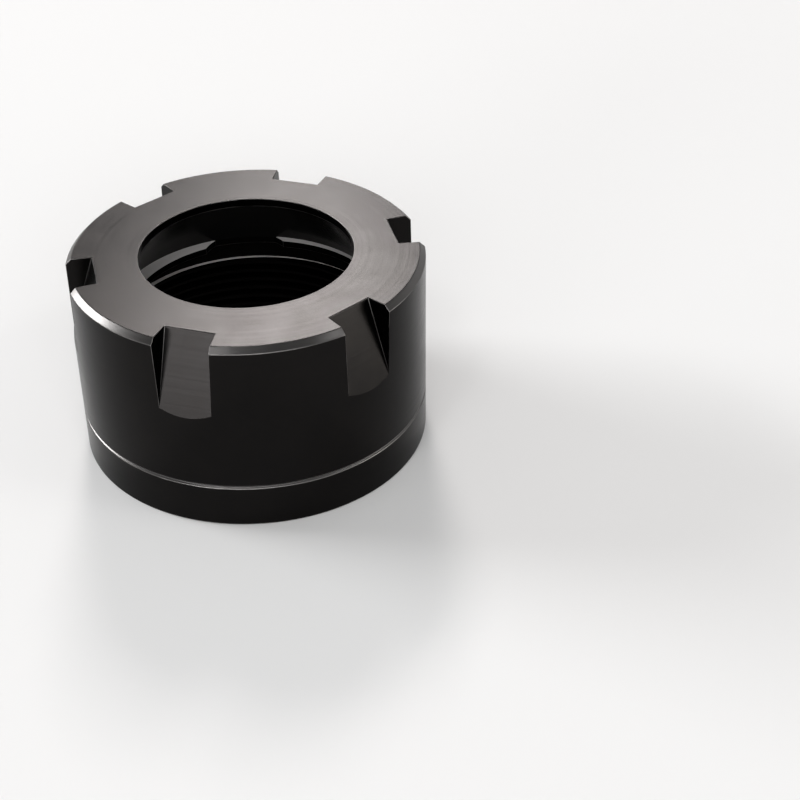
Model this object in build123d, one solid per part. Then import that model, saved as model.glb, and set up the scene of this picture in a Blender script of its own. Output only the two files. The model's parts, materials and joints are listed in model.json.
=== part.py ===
from build123d import *
import math
import os

# Clamping nut for a 32-size spring collet, turned from one piece of steel.
# Origin: centre of the flat rear face. +Z runs along the axis and out of the front face.
# The rear face is the one with the thread behind it, and the nut stands on it.

# Thread from the rear, in millimetres, with a relief groove in front of it and a pilot bore behind it
thread_diameter = 40.0
thread_pitch = 1.5
relief_length = 2.8
relief_clearance = 0.1       # radial, between the groove and the mating thread's crests
pilot_length = 5.1
pilot_clearance = 0.1        # radial
pilot_mouth_chamfer = 0.5

# Outside of the nut
height = 28.8
wall_over_thread = 5.0       # radial, from the thread's roots to the outside
front_chamfer = 0.8          # 45 degree bevel round the front face
rear_edge_break = 0.2        # broken edge round the rear face
ring_line_height = 6.5       # fine turned line round the outside, above the rear face
ring_line_width = 0.5
ring_line_depth = 0.25

# Front hole and the cone that presses on the collet's nose
front_hole_diameter = 29.9
front_land_length = 1.2      # short straight wall below the front face
cone_half_angle = 30.0       # degrees from the axis

# Extraction lip: a thin ledge with an off-centre bore that pulls the collet out by its groove
lip_thickness = 1.05
lip_root_step = 0.75         # radial, from the relief groove in to the lip's root
lip_reach_wide = 2.35        # radial, from its root to its edge, on the side that pulls
lip_reach_narrow = 0.45      # the same on the opposite side
lip_gap_angle = 82.3         # degrees from +X to the middle of the gap milled in the lip
lip_gap_cutter_diameter = 12.7
lip_gap_cutter_inset = 5.0   # from the lip's root in to the cutter's axis

# Wrench slots: flat floors that run out on the outside, with drafted side walls
slot_count = 6
slot_depth = 4.0             # at the front face, measured in from the outside
slot_runout_length = 11.3    # along the axis, from the front face to the end of the floor
slot_floor_width = 7.0       # at the front face
slot_floor_runout_width = 7.4
slot_wall_draft = 6.8        # degrees that each side wall leans outwards
cutter_overrun = 1.5         # how far the slot cutter reaches past the nut

# Radii that follow from the sizes above
outer_radius = thread_diameter / 2 + wall_over_thread
thread_minor_radius = thread_diameter / 2 - 5 / 8 * thread_pitch * math.cos(math.radians(30))
relief_radius = thread_diameter / 2 + relief_clearance
pilot_radius = thread_diameter / 2 + pilot_clearance
front_hole_radius = front_hole_diameter / 2
lip_root_radius = relief_radius - lip_root_step
lip_bore_radius = lip_root_radius - (lip_reach_wide + lip_reach_narrow) / 2
lip_bore_offset = (lip_reach_wide - lip_reach_narrow) / 2

# Levels above the rear face, from the front down
land_level = height - front_land_length
lip_level = land_level - (lip_root_radius - front_hole_radius) / math.tan(math.radians(cone_half_angle))
relief_top_level = lip_level - lip_thickness
thread_top_level = relief_top_level - relief_length
thread_start_level = pilot_length + pilot_radius - thread_minor_radius


def turned(points):
    """Revolve a closed half section, given as (radius, level) points, round the nut's axis."""
    outline = Plane.XZ * Polyline(*points, close=True)
    return revolve(make_face(outline), Axis.Z)


def blank():
    """The outside: straight wall with the front bevel and the ring line."""
    half_line = ring_line_width / 2
    return turned([
        (0, 0),
        (outer_radius - rear_edge_break, 0),
        (outer_radius, rear_edge_break),
        (outer_radius, ring_line_height - half_line),
        (outer_radius - ring_line_depth, ring_line_height),
        (outer_radius, ring_line_height + half_line),
        (outer_radius, height - front_chamfer),
        (outer_radius - front_chamfer, height),
        (0, height),
    ])


def collet_seat():
    """Cutter for the front hole's straight land and the cone below it."""
    return turned([
        (0, lip_level),
        (lip_root_radius, lip_level),
        (front_hole_radius, land_level),
        (front_hole_radius, height),
        (0, height),
    ])


def lip_opening():
    """Cutter through the lip: its off-centre bore, and the gap milled out as far as its root."""
    narrow_side = Rot(Z=lip_gap_angle - 90)
    bore = narrow_side * Pos(lip_bore_offset, 0) * Circle(lip_bore_radius)
    cutter_centre = Rot(Z=lip_gap_angle) * Pos(lip_root_radius - lip_gap_cutter_inset, 0)
    gap = cutter_centre * Circle(lip_gap_cutter_diameter / 2) & Circle(lip_root_radius)
    return extrude(Pos(0, 0, relief_top_level) * (bore + gap), lip_thickness)


def threaded_end():
    """Cutter for the relief groove, the bore at the thread's minor diameter, its lead-in and the pilot."""
    return turned([
        (0, 0),
        (pilot_radius + pilot_mouth_chamfer, 0),
        (pilot_radius, pilot_mouth_chamfer),
        (pilot_radius, pilot_length),
        (thread_minor_radius, thread_start_level),
        (thread_minor_radius, thread_top_level),
        (relief_radius, thread_top_level),
        (relief_radius, relief_top_level),
        (0, relief_top_level),
    ])


def slot_cutter():
    """Cutter for one wrench slot on the +X side, drawn on the slot's sloping floor."""
    tilt = math.atan2(slot_depth, slot_runout_length)
    floor_length = math.hypot(slot_depth, slot_runout_length)
    floor = Plane(
        origin=(outer_radius - slot_depth, 0, height),
        x_dir=(math.sin(tilt), 0, -math.cos(tilt)),
        z_dir=(math.cos(tilt), 0, math.sin(tilt)),
    )

    def half_width(along):
        widening = (slot_floor_runout_width - slot_floor_width) * along / floor_length
        return (slot_floor_width + widening) / 2

    start = -cutter_overrun
    end = floor_length + cutter_overrun
    outline = Polyline(
        (start, -half_width(start)),
        (end, -half_width(end)),
        (end, half_width(end)),
        (start, half_width(start)),
        close=True,
    )
    return extrude(floor * make_face(outline), slot_depth + cutter_overrun, taper=-slot_wall_draft)


def collet_nut():
    """The whole nut: the turned blank with its bores, lip and wrench slots cut."""
    nut = blank() - collet_seat() - lip_opening() - threaded_end()
    cutter = slot_cutter()
    slots = [Rot(Z=turn * 360 / slot_count) * cutter for turn in range(slot_count)]
    return nut - slots


os.makedirs("parts", exist_ok=True)
nut = collet_nut()
export_step(nut, "parts/collet_nut.step")
print(f"collet_nut: {nut.volume:.0f} mm3, {len(nut.solids())} solid, {len(nut.faces())} faces")
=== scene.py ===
import json
import math

import bmesh
import bpy
from mathutils import Matrix, Vector


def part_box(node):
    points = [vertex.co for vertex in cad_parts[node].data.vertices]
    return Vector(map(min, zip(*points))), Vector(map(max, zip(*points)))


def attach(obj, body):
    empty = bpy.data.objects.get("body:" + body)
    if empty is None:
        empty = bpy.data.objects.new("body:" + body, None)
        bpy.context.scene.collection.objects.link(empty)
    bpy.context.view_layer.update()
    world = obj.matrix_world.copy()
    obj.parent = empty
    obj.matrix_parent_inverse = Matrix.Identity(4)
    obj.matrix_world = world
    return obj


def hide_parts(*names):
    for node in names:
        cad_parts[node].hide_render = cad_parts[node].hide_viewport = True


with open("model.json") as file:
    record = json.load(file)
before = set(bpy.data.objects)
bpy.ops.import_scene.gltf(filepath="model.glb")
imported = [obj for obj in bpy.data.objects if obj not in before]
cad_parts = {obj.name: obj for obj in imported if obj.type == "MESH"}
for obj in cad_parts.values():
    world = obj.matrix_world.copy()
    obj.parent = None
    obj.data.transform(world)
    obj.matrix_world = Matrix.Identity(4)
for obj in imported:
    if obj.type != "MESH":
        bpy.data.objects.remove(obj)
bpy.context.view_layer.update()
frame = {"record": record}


# Blank of the nut. A length of alloy steel bar is faced and turned outside, then bored out in
# steps from the rear for the thread and from the front for the collet's nose. All the surfaces
# that run round its axis come from this one half section, spun in small steps.
mm = 0.001
highest_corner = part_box("collet_nut")[1]
outer_radius = highest_corner[0]
height = highest_corner[2]
mounts = {entry["name"]: entry for entry in frame["record"]["mounts"]}
thread_minor_radius = mounts["spindle_thread"]["dims"]["r_mm"] * mm
thread_length = mounts["spindle_thread"]["dims"]["length_mm"] * mm
thread_middle = mounts["spindle_thread"]["pos_m"][2]
land_level = mounts["coned_front"]["pos_m"][2]

turned_steps = 360
front_chamfer = 0.8 * mm
rear_edge_break = 0.2 * mm
ring_line_height = 6.5 * mm
ring_line_width = 0.5 * mm
ring_line_depth = 0.25 * mm
front_hole_radius = 14.95 * mm
cone_half_angle = math.radians(30)
lip_root_radius = 19.35 * mm
lip_thickness = 1.05 * mm
lip_blank_radius = 15.5 * mm
relief_radius = 20.1 * mm
pilot_radius = 20.1 * mm
pilot_mouth_chamfer = 0.5 * mm

lip_level = land_level - (lip_root_radius - front_hole_radius) / math.tan(cone_half_angle)
relief_top_level = lip_level - lip_thickness
thread_top_level = thread_middle + thread_length / 2
thread_start_level = thread_middle - thread_length / 2
pilot_length = thread_start_level - (pilot_radius - thread_minor_radius)
half_line = ring_line_width / 2
merge_reach = 0.001 * mm


def spin_section(shape, points):
    """Joins (radius, level) points into a closed half section and spins it round the Z axis."""
    corners = [shape.verts.new((radius, 0, level)) for radius, level in points]
    sides = [shape.edges.new((a, b)) for a, b in zip(corners, corners[1:] + corners[:1])]
    bmesh.ops.spin(
        shape, geom=corners + sides, cent=(0, 0, 0), axis=(0, 0, 1),
        angle=math.tau, steps=turned_steps, use_merge=True,
    )
    bmesh.ops.remove_doubles(shape, verts=shape.verts, dist=merge_reach)
    bmesh.ops.recalc_face_normals(shape, faces=shape.faces)


def into_object(shape, name):
    """Moves a finished bmesh into a new object of that name."""
    mesh = bpy.data.meshes.new(name)
    shape.to_mesh(mesh)
    shape.free()
    made = bpy.data.objects.new(name, mesh)
    bpy.context.scene.collection.objects.link(made)
    return made


blank = bmesh.new()
spin_section(blank, [
    (outer_radius - rear_edge_break, 0),
    (outer_radius, rear_edge_break),
    (outer_radius, ring_line_height - half_line),
    (outer_radius - ring_line_depth, ring_line_height),
    (outer_radius, ring_line_height + half_line),
    (outer_radius, height - front_chamfer),
    (outer_radius - front_chamfer, height),
    (front_hole_radius, height),
    (front_hole_radius, land_level),
    (lip_root_radius, lip_level),
    (lip_blank_radius, lip_level),
    (lip_blank_radius, relief_top_level),
    (relief_radius, relief_top_level),
    (relief_radius, thread_top_level),
    (thread_minor_radius, thread_top_level),
    (thread_minor_radius, thread_start_level),
    (pilot_radius, pilot_length),
    (pilot_radius, pilot_mouth_chamfer),
    (pilot_radius + pilot_mouth_chamfer, 0),
])
nut = into_object(blank, "nut_body")


# Extraction lip. The ledge left behind the cone is bored off centre, so that it is wide on one
# side, where it hooks into the collet's groove, and nearly vanishes on the other. A small end
# mill then opens a gap in it, through which the collet is rocked in.
lip_reach_wide = 2.35 * mm
lip_reach_narrow = 0.45 * mm
lip_gap_angle = math.radians(82.3)
gap_cutter_radius = 6.35 * mm
gap_cutter_inset = 5.0 * mm
lip_cutter_overrun = 0.2 * mm
lip_cutter_taper = 0.98

lip_bore_radius = lip_root_radius - (lip_reach_wide + lip_reach_narrow) / 2
lip_bore_offset = (lip_reach_wide - lip_reach_narrow) / 2


def raise_faces(shape, faces, rise):
    """Lifts faces of a shape on new walls, and gives the lifted corners."""
    lifted = bmesh.ops.extrude_face_region(shape, geom=faces)
    top = [item for item in lifted["geom"] if isinstance(item, bmesh.types.BMVert)]
    bmesh.ops.translate(shape, verts=top, vec=rise)
    return top


def stop_at_lip_root(shape):
    """Draws corners that lie past the lip's root back onto it, at the steps of the turned cone."""
    step = math.tau / turned_steps
    for corner in shape.verts:
        if corner.co.xy.length > lip_root_radius:
            bearing = round(math.atan2(corner.co.y, corner.co.x) / step) * step
            corner.co = Vector((math.cos(bearing), math.sin(bearing), 0)) * lip_root_radius
    bmesh.ops.remove_doubles(shape, verts=shape.verts, dist=merge_reach)


def lip_cutter(name, radius, angle, off_centre):
    """A short round cutter, straight through the lip and tapered above it to clear the cone."""
    shape = bmesh.new()
    bmesh.ops.create_circle(shape, cap_ends=True, segments=turned_steps, radius=radius)
    bmesh.ops.translate(shape, verts=shape.verts, vec=(off_centre, 0, 0))
    bmesh.ops.rotate(shape, verts=shape.verts, cent=(0, 0, 0), matrix=Matrix.Rotation(angle, 3, "Z"))
    stop_at_lip_root(shape)
    bmesh.ops.translate(shape, verts=shape.verts, vec=(0, 0, relief_top_level - lip_cutter_overrun))
    for corner in raise_faces(shape, shape.faces[:], (0, 0, lip_cutter_overrun + lip_thickness)):
        corner.co.z = lip_level
    upper = [face for face in shape.faces if all(corner.co.z > relief_top_level for corner in face.verts)]
    top = raise_faces(shape, upper, (0, 0, lip_cutter_overrun))
    bmesh.ops.delete(shape, geom=upper, context="FACES_ONLY")
    for corner in top:
        corner.co = (corner.co.x * lip_cutter_taper, corner.co.y * lip_cutter_taper, corner.co.z)
    bmesh.ops.recalc_face_normals(shape, faces=shape.faces)
    return into_object(shape, name)


def cut_away(body, cutter):
    """Cuts one shape out of another for good, and throws the cutter away."""
    cut = body.modifiers.new("cut", "BOOLEAN")
    cut.operation = "DIFFERENCE"
    cut.solver = "EXACT"
    cut.object = cutter
    bpy.context.view_layer.update()
    result = bpy.data.meshes.new_from_object(body.evaluated_get(bpy.context.evaluated_depsgraph_get()))
    body.modifiers.clear()
    old = body.data
    body.data = result
    bpy.data.meshes.remove(old)
    bpy.data.objects.remove(cutter)


narrow_side = lip_gap_angle - math.pi / 2
cut_away(nut, lip_cutter("lip_bore", lip_bore_radius, narrow_side, lip_bore_offset))
cut_away(nut, lip_cutter("lip_gap", gap_cutter_radius, lip_gap_angle, lip_root_radius - gap_cutter_inset))


# Wrench slots. Six slots for the teeth of a castellated wrench are milled with a tapered cutter
# on a tilted axis, so each floor slopes out to the wall and each side leans back.
slot_count = 6
slot_depth = 4.0 * mm
slot_runout_length = 11.3 * mm
slot_floor_width = 7.0 * mm
slot_floor_runout_width = 7.4 * mm
slot_wall_draft = math.radians(6.8)
cutter_overrun = 1.5 * mm

slot_tilt = math.atan2(slot_depth, slot_runout_length)
slot_floor_length = math.hypot(slot_depth, slot_runout_length)
widening = (slot_floor_runout_width - slot_floor_width) / slot_floor_length
cutter_length = slot_floor_length + 2 * cutter_overrun
cutter_height = slot_depth + cutter_overrun
cutter_lean = cutter_height * math.tan(slot_wall_draft)
half_square = 0.5

# The cutter starts as a square of side one, which is drawn out to the slot's floor and raised.
slots = bmesh.new()
bmesh.ops.create_grid(slots, x_segments=1, y_segments=1, size=half_square)
for corner in slots.verts:
    along = (corner.co.x + half_square) * cutter_length - cutter_overrun
    width = slot_floor_width + widening * along
    corner.co = (along, corner.co.y * width, 0)
for corner in raise_faces(slots, slots.faces[:], (0, 0, cutter_height)):
    corner.co += Vector((0, math.copysign(cutter_lean, corner.co.y), 0))
floor_frame = Matrix((
    (math.sin(slot_tilt), 0, math.cos(slot_tilt), outer_radius - slot_depth),
    (0, 1, 0, 0),
    (-math.cos(slot_tilt), 0, math.sin(slot_tilt), height),
    (0, 0, 0, 1),
))
bmesh.ops.transform(slots, matrix=floor_frame, verts=slots.verts)
bmesh.ops.spin(
    slots, geom=slots.verts[:] + slots.edges[:] + slots.faces[:], cent=(0, 0, 0), axis=(0, 0, 1),
    angle=math.tau * (slot_count - 1) / slot_count, steps=slot_count - 1, use_duplicate=True,
)
bmesh.ops.recalc_face_normals(slots, faces=slots.faces)
cut_away(nut, into_object(slots, "slot_cutters"))


# Broken edges. Every sharp corner left by turning and milling is taken off with a fine file and
# by tumbling. The faces that this makes are marked, for the way that they catch the light.
edge_break = 0.1 * mm
edge_break_steps = 2
sharp_from = math.radians(28)
shortest_edge = 0.002 * mm

edges = bmesh.new()
edges.from_mesh(nut.data)
edge_round = edges.faces.layers.int.new("edge_round")
bmesh.ops.remove_doubles(edges, verts=edges.verts, dist=shortest_edge)
bmesh.ops.dissolve_degenerate(edges, edges=edges.edges, dist=shortest_edge)
sharp = [edge for edge in edges.edges if len(edge.link_faces) == 2 and edge.calc_face_angle() > sharp_from]
broken = bmesh.ops.bevel(
    edges, geom=sharp, offset=edge_break, offset_type="OFFSET", profile_type="SUPERELLIPSE",
    affect="EDGES", segments=edge_break_steps, profile=0.5, material=-1, clamp_overlap=False,
)
for face in broken["faces"]:
    face[edge_round] = 1
edges.to_mesh(nut.data)
edges.free()


# Thread. A metric thread of fine pitch is cut with a single-point tool from the pilot bore up to
# the relief groove, where the tool runs out. The tool's path is its pointed end, wound up the bore.
thread_radius = 20.0 * mm
thread_pitch = 1.5 * mm
thread_flank_angle = math.radians(30)
thread_steps = 180
tool_lead_in = 1.3 * thread_pitch
tool_runout_turns = 0.7
tool_overrun = 0.2 * mm

tool_flat = thread_pitch / 8
tool_inner_radius = thread_minor_radius - tool_overrun
tool_half_width = tool_flat / 2 + (thread_radius - tool_inner_radius) * math.tan(thread_flank_angle)
tool_start = thread_start_level - tool_lead_in
tool_turns = math.ceil((thread_top_level - tool_start) / thread_pitch) + tool_runout_turns
tool_steps = round(tool_turns * thread_steps)
tool_point = [
    (tool_inner_radius, -tool_half_width),
    (thread_radius, -tool_flat / 2),
    (thread_radius, tool_flat / 2),
    (tool_inner_radius, tool_half_width),
]

# The tool carries the mark for broken edges too, and leaves it unset on the faces that it cuts.
tool = bmesh.new()
tool.faces.layers.int.new("edge_round")
tool_face = tool.faces.new([tool.verts.new((radius, 0, tool_start + rise)) for radius, rise in tool_point])
bmesh.ops.spin(
    tool, geom=[tool_face] + tool_face.edges[:] + tool_face.verts[:], cent=(0, 0, 0), axis=(0, 0, 1),
    angle=math.tau * tool_steps / thread_steps, steps=tool_steps, dvec=(0, 0, thread_pitch / thread_steps),
)
bmesh.ops.recalc_face_normals(tool, faces=tool.faces)
cut_away(nut, into_object(tool, "thread_tool"))


# Surfaces of the finished nut. Turned faces shade as true rounds and milled ones as true flats,
# and a broken edge rolls from one to the other. The oxide rubs off the outer corners first. The lip
# and the thread's shoulder are painted pale steel, a painted highlight, and the front bevel and the
# ring line are painted a little paler, which brightens the lamps' highlights on them.
facet_reach = math.radians(1.6)
surface_reach = 0.02 * mm
# Shares of painted pale steel: whole on the lip and the thread's shoulder as a painted highlight.
painted_seat_share = 1.0
# Small share on the front bevel and in the ring line: painted paler, which brightens the lamps' highlights
# on them.
painted_bevel_share = 0.16

# Cosines: of the angle between two faces that look much the same way, and of the angle by which
# a sloping or a level face leans from the axis.
alike_from = 0.5
sloping_from = 0.5
level_from = 0.9

surfaces = bmesh.new()
surfaces.from_mesh(nut.data)
surfaces.normal_update()
painted_highlight = surfaces.faces.layers.float.new("painted_highlight")
rubbed = surfaces.verts.layers.float.new("rubbed")
edge_round = surfaces.faces.layers.int["edge_round"]


def lathe_normal(face, corner):
    """The direction of a face, carried round the axis to one of its corners."""
    middle = face.calc_center_median()
    swing = math.atan2(corner.co.y * middle.x - corner.co.x * middle.y, corner.co.xy.dot(middle.xy))
    if abs(swing) > facet_reach:
        return face.normal
    return Matrix.Rotation(swing, 3, "Z") @ face.normal


def corner_normal(face, corner):
    """A face's own direction at a corner or, on a broken edge, that of the face it rolls into."""
    if not face[edge_round]:
        return lathe_normal(face, corner)
    near = [side for side in corner.link_faces if side.normal.dot(face.normal) > alike_from]
    broad = [side for side in near if not side[edge_round]]
    beside = [side for side in broad if set(side.edges) & set(face.edges)]
    chosen = beside or broad or near
    total = sum((lathe_normal(side, corner) * side.calc_area() for side in chosen), Vector())
    return total.normalized()


def stands_out(corner):
    """Says whether a corner is the ridge of a broken edge that points outwards."""
    if not all(face[edge_round] for face in corner.link_faces):
        return False
    neighbours = [edge.other_vert(corner).co for edge in corner.link_edges]
    middle = sum(neighbours, Vector()) / len(neighbours)
    return (corner.co - middle).dot(corner.normal) > 0


def painted_highlight_share(face):
    """How far a face is painted pale steel: fully on the seats as a painted highlight, a little on the
    bevel and ring line.
    """
    middle = face.calc_center_median()
    # The lip's top and the thread's shoulder are painted fully pale, a painted highlight.
    off_seat = min(abs(middle.z - lip_level), abs(middle.z - thread_top_level))
    if face.normal.z > level_from and off_seat < surface_reach:
        return painted_seat_share
    # The front bevel and the ring line are painted a little paler, a painted brightening of their
    # highlights.
    near_outside = middle.xy.length > outer_radius - front_chamfer
    on_slope = sloping_from < face.normal.z < level_from
    on_bevel = near_outside and on_slope and middle.z > height - front_chamfer
    below_outside = middle.xy.length < outer_radius - surface_reach
    in_line = near_outside and below_outside and abs(middle.z - ring_line_height) < half_line
    return painted_bevel_share if on_bevel or in_line else 0.0


for face in surfaces.faces:
    face.smooth = True
    face[painted_highlight] = painted_highlight_share(face)
for corner in surfaces.verts:
    corner[rubbed] = 1.0 if stands_out(corner) else 0.0
corner_normals = [corner_normal(face, corner) for face in surfaces.faces for corner in face.verts]
surfaces.to_mesh(nut.data)
surfaces.free()
nut.data.normals_split_custom_set(corner_normals)


# Finish of the nut. The steel is hardened, then blackened in a hot salt bath and oiled, which
# leaves a thin black oxide with a satin sheen over fine turning lines.
oxide_black = (0.0105, 0.0100, 0.0100, 1)
oxide_brown = (0.0132, 0.0121, 0.0116, 1)
# Pale steel: real wear on the outer corners, and painted highlight on the lip, the thread's shoulder, the
# front bevel and the ring line.
worn_and_painted_steel = (0.58, 0.56, 0.55, 1)
oxide_tint = (0.75, 0.75, 0.75, 1)
mottles_per_mm = 0.22
grains_per_mm = 9.0
lines_per_mm = 7.0
bands_per_mm = 1.6
faced_from = 0.85
# The painted seats are also made rough and barely metallic, so that they read as light grey rings.
painted_seat_from = 0.5
worn_and_painted_roughness = 0.7
painted_seat_metallic = 0.15
oxide_metallic = 1.0
relief_height = 0.02 * mm
band_relief = 0.15
line_relief = 0.05
grain_relief = 0.05

# Each pair is a range: the part of a noise's swing that counts, or what that part is turned into.
usual_swing = (0.3, 0.7)
satin_roughness = (0.215, 0.265)
band_roughness = (-0.012, 0.012)
wear_swing = (0.35, 0.65)
wear_on_corners = (0.1, 0.35)

# The mix node keeps its colours behind the values and vectors that have the same names.
first_colour = 6
second_colour = 7
blended_colour = 2


def place(tree, kind, inputs=None, **settings):
    """Adds a node, sets its options, and fills its inputs with values or links."""
    node = tree.nodes.new(kind)
    for option, value in settings.items():
        setattr(node, option, value)
    for socket, value in (inputs or {}).items():
        if isinstance(value, bpy.types.NodeSocket):
            tree.links.new(value, node.inputs[socket])
        else:
            node.inputs[socket].default_value = value
    return node


def reckon(tree, operation, first, second=0.0):
    """Works one value out from two others, or from the first alone."""
    return place(tree, "ShaderNodeMath", {0: first, 1: second}, operation=operation).outputs["Value"]


def carry_over(tree, value, known, wanted, **settings):
    """Carries a value from a known range over to the wanted one."""
    ends = {"From Min": known[0], "From Max": known[1], "To Min": wanted[0], "To Max": wanted[1]}
    return place(tree, "ShaderNodeMapRange", {"Value": value, **ends}, **settings).outputs["Result"]


def blend_values(tree, share, first, second):
    """Goes from the first value to the second as the share rises from 0 to 1."""
    return place(tree, "ShaderNodeMix", {"Factor": share, "A": first, "B": second}).outputs["Result"]


def blend_colours(tree, share, first, second):
    """Goes from the first colour to the second as the share rises from 0 to 1."""
    ends = {"Factor": share, first_colour: first, second_colour: second}
    return place(tree, "ShaderNodeMix", ends, data_type="RGBA").outputs[blended_colour]


def patches(tree, in_mm, scale, detail, roughness=0.5):
    """Noise that changes in every direction, such as mottling or grain."""
    inputs = {"Vector": in_mm, "Scale": scale, "Detail": detail, "Roughness": roughness}
    return place(tree, "ShaderNodeTexNoise", inputs).outputs["Fac"]


def turning_marks(tree, travel, scale, detail):
    """Noise that changes only the way the turning tool moved, so that it lies in rings."""
    inputs = {"W": travel, "Scale": scale, "Detail": detail}
    return place(tree, "ShaderNodeTexNoise", inputs, noise_dimensions="1D").outputs["Fac"]


def tool_travel(tree, in_mm):
    """The way the turning tool moved: out from the axis on level faces, along it on the others."""
    ways = place(tree, "ShaderNodeSeparateXYZ", {"Vector": in_mm}).outputs
    flat = place(tree, "ShaderNodeCombineXYZ", {"X": ways["X"], "Y": ways["Y"]}).outputs["Vector"]
    radius = place(tree, "ShaderNodeVectorMath", {"Vector": flat}, operation="LENGTH").outputs["Value"]
    facing = place(tree, "ShaderNodeNewGeometry").outputs["Normal"]
    upward = place(tree, "ShaderNodeSeparateXYZ", {"Vector": facing}).outputs["Z"]
    faced = reckon(tree, "GREATER_THAN", reckon(tree, "ABSOLUTE", upward), faced_from)
    return blend_values(tree, faced, ways["Z"], radius)


def relief(tree, height, strength, under=None):
    """Bends the surface by a pattern of fine heights, over one that bends it already."""
    inputs = {"Height": height, "Strength": strength, "Distance": relief_height}
    if under:
        inputs["Normal"] = under
    return place(tree, "ShaderNodeBump", inputs).outputs["Normal"]


def black_oxide():
    """Black oxide on turned steel: mottled near-black, fine turning lines, rubbed corners."""
    made = bpy.data.materials.new("black_oxide_steel")
    made.use_nodes = True
    tree = made.node_tree
    where = place(tree, "ShaderNodeTexCoord").outputs["Object"]
    to_mm = (1 / mm, 1 / mm, 1 / mm)
    in_mm = place(tree, "ShaderNodeMapping", {"Vector": where, "Scale": to_mm}).outputs["Vector"]
    travel = tool_travel(tree, in_mm)
    lines = turning_marks(tree, travel, lines_per_mm, detail=2.0)
    bands = turning_marks(tree, travel, bands_per_mm, detail=3.0)
    mottle = patches(tree, in_mm, mottles_per_mm, detail=5.0, roughness=0.6)
    grain = patches(tree, in_mm, grains_per_mm, detail=2.0)

    # Real wear on the outer corners, and painted highlight from the faces' share: pale seats, a paler bevel
    # and ring line.
    on_corner = place(tree, "ShaderNodeAttribute", attribute_name="rubbed").outputs["Fac"]
    painted_on_face = place(tree, "ShaderNodeAttribute", attribute_name="painted_highlight").outputs["Fac"]
    patchy_wear = carry_over(tree, mottle, wear_swing, wear_on_corners)
    wear_and_painted_highlight = reckon(tree, "MAXIMUM", reckon(tree, "MULTIPLY", on_corner, patchy_wear), painted_on_face)

    oxide = blend_colours(tree, mottle, oxide_black, oxide_brown)
    satin = carry_over(tree, mottle, usual_swing, satin_roughness)
    streaks = carry_over(tree, bands, usual_swing, band_roughness)
    banded = relief(tree, bands, band_relief)
    lined = relief(tree, lines, line_relief, banded)

    # The pale steel mixed in here is real wear on corners and painted highlight on the seats, the bevel and
    # the ring line.
    surface = {
        "Base Color": blend_colours(tree, wear_and_painted_highlight, oxide, worn_and_painted_steel),
        "Roughness": blend_values(tree, wear_and_painted_highlight, reckon(tree, "ADD", satin, streaks), worn_and_painted_roughness),
        "Metallic": carry_over(tree, painted_on_face, (painted_seat_from, painted_seat_share), (oxide_metallic, painted_seat_metallic)),
        "Normal": relief(tree, grain, grain_relief, lined),
    }
    shader = tree.nodes["Principled BSDF"]
    for socket, finish in surface.items():
        tree.links.new(finish, shader.inputs[socket])
    shader.inputs["Specular Tint"].default_value = oxide_tint
    return made


nut.data.materials.clear()
nut.data.materials.append(black_oxide())
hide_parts("collet_nut")
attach(nut, "root")


# Studio floor. A wide round sheet of pale matt board, which fades into the walls' light.
floor_radius = 1.0
floor_sides = 96
fade_start = 0.4
fade_end = 0.9 * floor_radius
board_colour = (0.82, 0.82, 0.82, 1)
board_roughness = 0.9
board_shine = 0.1


def pale_board():
    """Matt white board, which grows clear towards its rim."""
    made = bpy.data.materials.new("pale_board")
    made.use_nodes = True
    tree = made.node_tree
    shader = tree.nodes["Principled BSDF"]
    shader.inputs["Base Color"].default_value = board_colour
    shader.inputs["Roughness"].default_value = board_roughness
    shader.inputs["Specular IOR Level"].default_value = board_shine
    where = place(tree, "ShaderNodeTexCoord").outputs["Object"]
    reach = place(tree, "ShaderNodeVectorMath", {"Vector": where}, operation="LENGTH").outputs["Value"]
    solid = carry_over(tree, reach, (fade_start, fade_end), (1.0, 0.0), interpolation_type="SMOOTHSTEP")
    tree.links.new(solid, shader.inputs["Alpha"])
    return made


floor_sheet = bmesh.new()
bmesh.ops.create_circle(floor_sheet, cap_ends=True, segments=floor_sides, radius=floor_radius)
floor = into_object(floor_sheet, "floor")
floor.data.materials.append(pale_board())


# Soft lamps. Each one is a panel with a grid in front of it, which gathers its light on the nut
# and the floor round it. Its bearing and its size are in degrees, as it is seen from the nut.
lamp_distance = 2.4
grid_half_angle = math.radians(60)
grid_gain = math.tan(grid_half_angle) / (math.tan(grid_half_angle) - grid_half_angle)


def soft_lamp(name, azimuth, elevation, wide, tall, brightness, turn=0, colour=(1, 1, 1)):
    """A panel at that bearing from the nut, which faces it."""
    data = bpy.data.lights.new(name, "AREA")
    data.shape = "RECTANGLE"
    data.size = 2 * lamp_distance * math.tan(math.radians(wide / 2))
    data.size_y = 2 * lamp_distance * math.tan(math.radians(tall / 2))
    data.spread = 2 * grid_half_angle
    data.energy = brightness * math.pi * data.size * data.size_y / grid_gain
    data.color = colour
    lamp = bpy.data.objects.new(name, data)
    lamp.visible_camera = False
    level = math.cos(math.radians(elevation))
    outward = Vector((
        math.cos(math.radians(azimuth)) * level,
        math.sin(math.radians(azimuth)) * level,
        math.sin(math.radians(elevation)),
    ))
    facing = outward.to_track_quat("Z", "Y").to_matrix().to_4x4()
    turned = facing @ Matrix.Rotation(math.radians(turn), 4, "Z")
    lamp.matrix_world = Matrix.Translation(outward * lamp_distance) @ turned
    bpy.context.scene.collection.objects.link(lamp)


# The overhead lamp lights the floor, the front lamp reaches the lip inside the bore, and the
# back lamp is the one that the front face mirrors.
soft_lamp("overhead_lamp", azimuth=90, elevation=90, wide=16, tall=16, brightness=3)
soft_lamp("front_lamp", azimuth=-98, elevation=27, wide=41, tall=18, brightness=6.2)
soft_lamp(
    "back_lamp", azimuth=82.0, elevation=36.2, wide=15.6, tall=8.7, brightness=34,
    turn=50.8, colour=(1.0, 0.96, 0.94),
)

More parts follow.
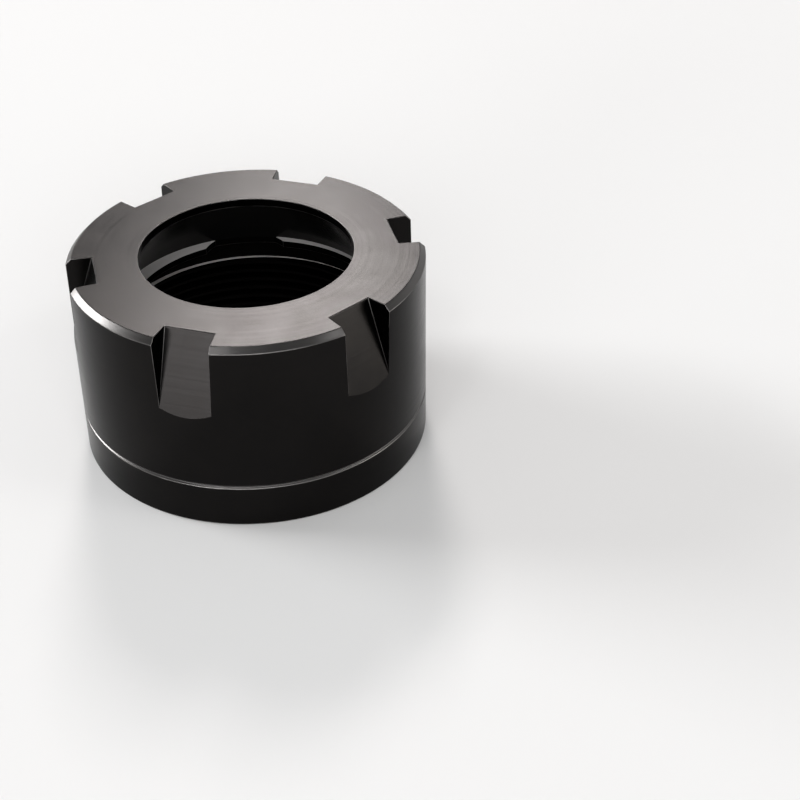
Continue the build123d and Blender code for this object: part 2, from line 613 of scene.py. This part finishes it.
# The front bevel mirrors these three, from its left side round to its right.
soft_lamp("left_lamp", azimuth=147, elevation=19.5, wide=31, tall=9.3, brightness=29, turn=33)
soft_lamp("front_left_high_lamp", azimuth=-130, elevation=53.5, wide=7.2, tall=8.6, brightness=10)
soft_lamp("right_high_lamp", azimuth=-33, elevation=46.3, wide=13.5, tall=5.7, brightness=6, turn=-24.6)

# The floors of the two wrench slots in front mirror these two.
soft_lamp("front_left_lamp", azimuth=-135, elevation=7.5, wide=25, tall=13, brightness=11)
soft_lamp("right_lamp", azimuth=-25, elevation=7.5, wide=25, tall=13, brightness=9, colour=(1.0, 0.97, 0.9))


# Studio walls. Soft light comes from all round, brighter near the floor than overhead.
wall_light = 0.95
ceiling_light = 0.12
walls_up_to = 0.25
ceiling_from = 0.6

world = bpy.data.worlds.new("studio_walls")
bpy.context.scene.world = world
world.use_nodes = True
walls = world.node_tree
direction = place(walls, "ShaderNodeTexCoord").outputs["Generated"]
rise = place(walls, "ShaderNodeSeparateXYZ", {"Vector": direction}).outputs["Z"]
glow = carry_over(
    walls, rise, (walls_up_to, ceiling_from), (wall_light, ceiling_light), interpolation_type="SMOOTHSTEP",
)
walls.links.new(glow, walls.nodes["Background"].inputs["Strength"])
walls.nodes["Background"].inputs["Color"].default_value = (1, 1, 1, 1)


# Camera. It stands in front of the nut at the photograph's viewing angle and looks down on its
# front face. Its place is measured from the middle of the nut's rear face.
camera_lens = 73.16
camera_sensor = 36
camera_place = Vector((-26.33, -195.75, 142.80)) * mm
camera_heading = math.radians(13.82)
camera_pitch = math.radians(35.45)
camera_roll = math.radians(-0.557)

camera_data = bpy.data.cameras.new("camera")
camera_data.lens = camera_lens
camera_data.sensor_width = camera_sensor
camera = bpy.data.objects.new("camera", camera_data)
bpy.context.scene.collection.objects.link(camera)
camera.matrix_world = (
    Matrix.Translation(camera_place)
    @ Matrix.Rotation(-camera_heading, 4, "Z")
    @ Matrix.Rotation(math.pi / 2 - camera_pitch, 4, "X")
    @ Matrix.Rotation(camera_roll, 4, "Z")
)
bpy.context.scene.camera = camera
bpy.context.scene.view_settings.view_transform = "Standard"
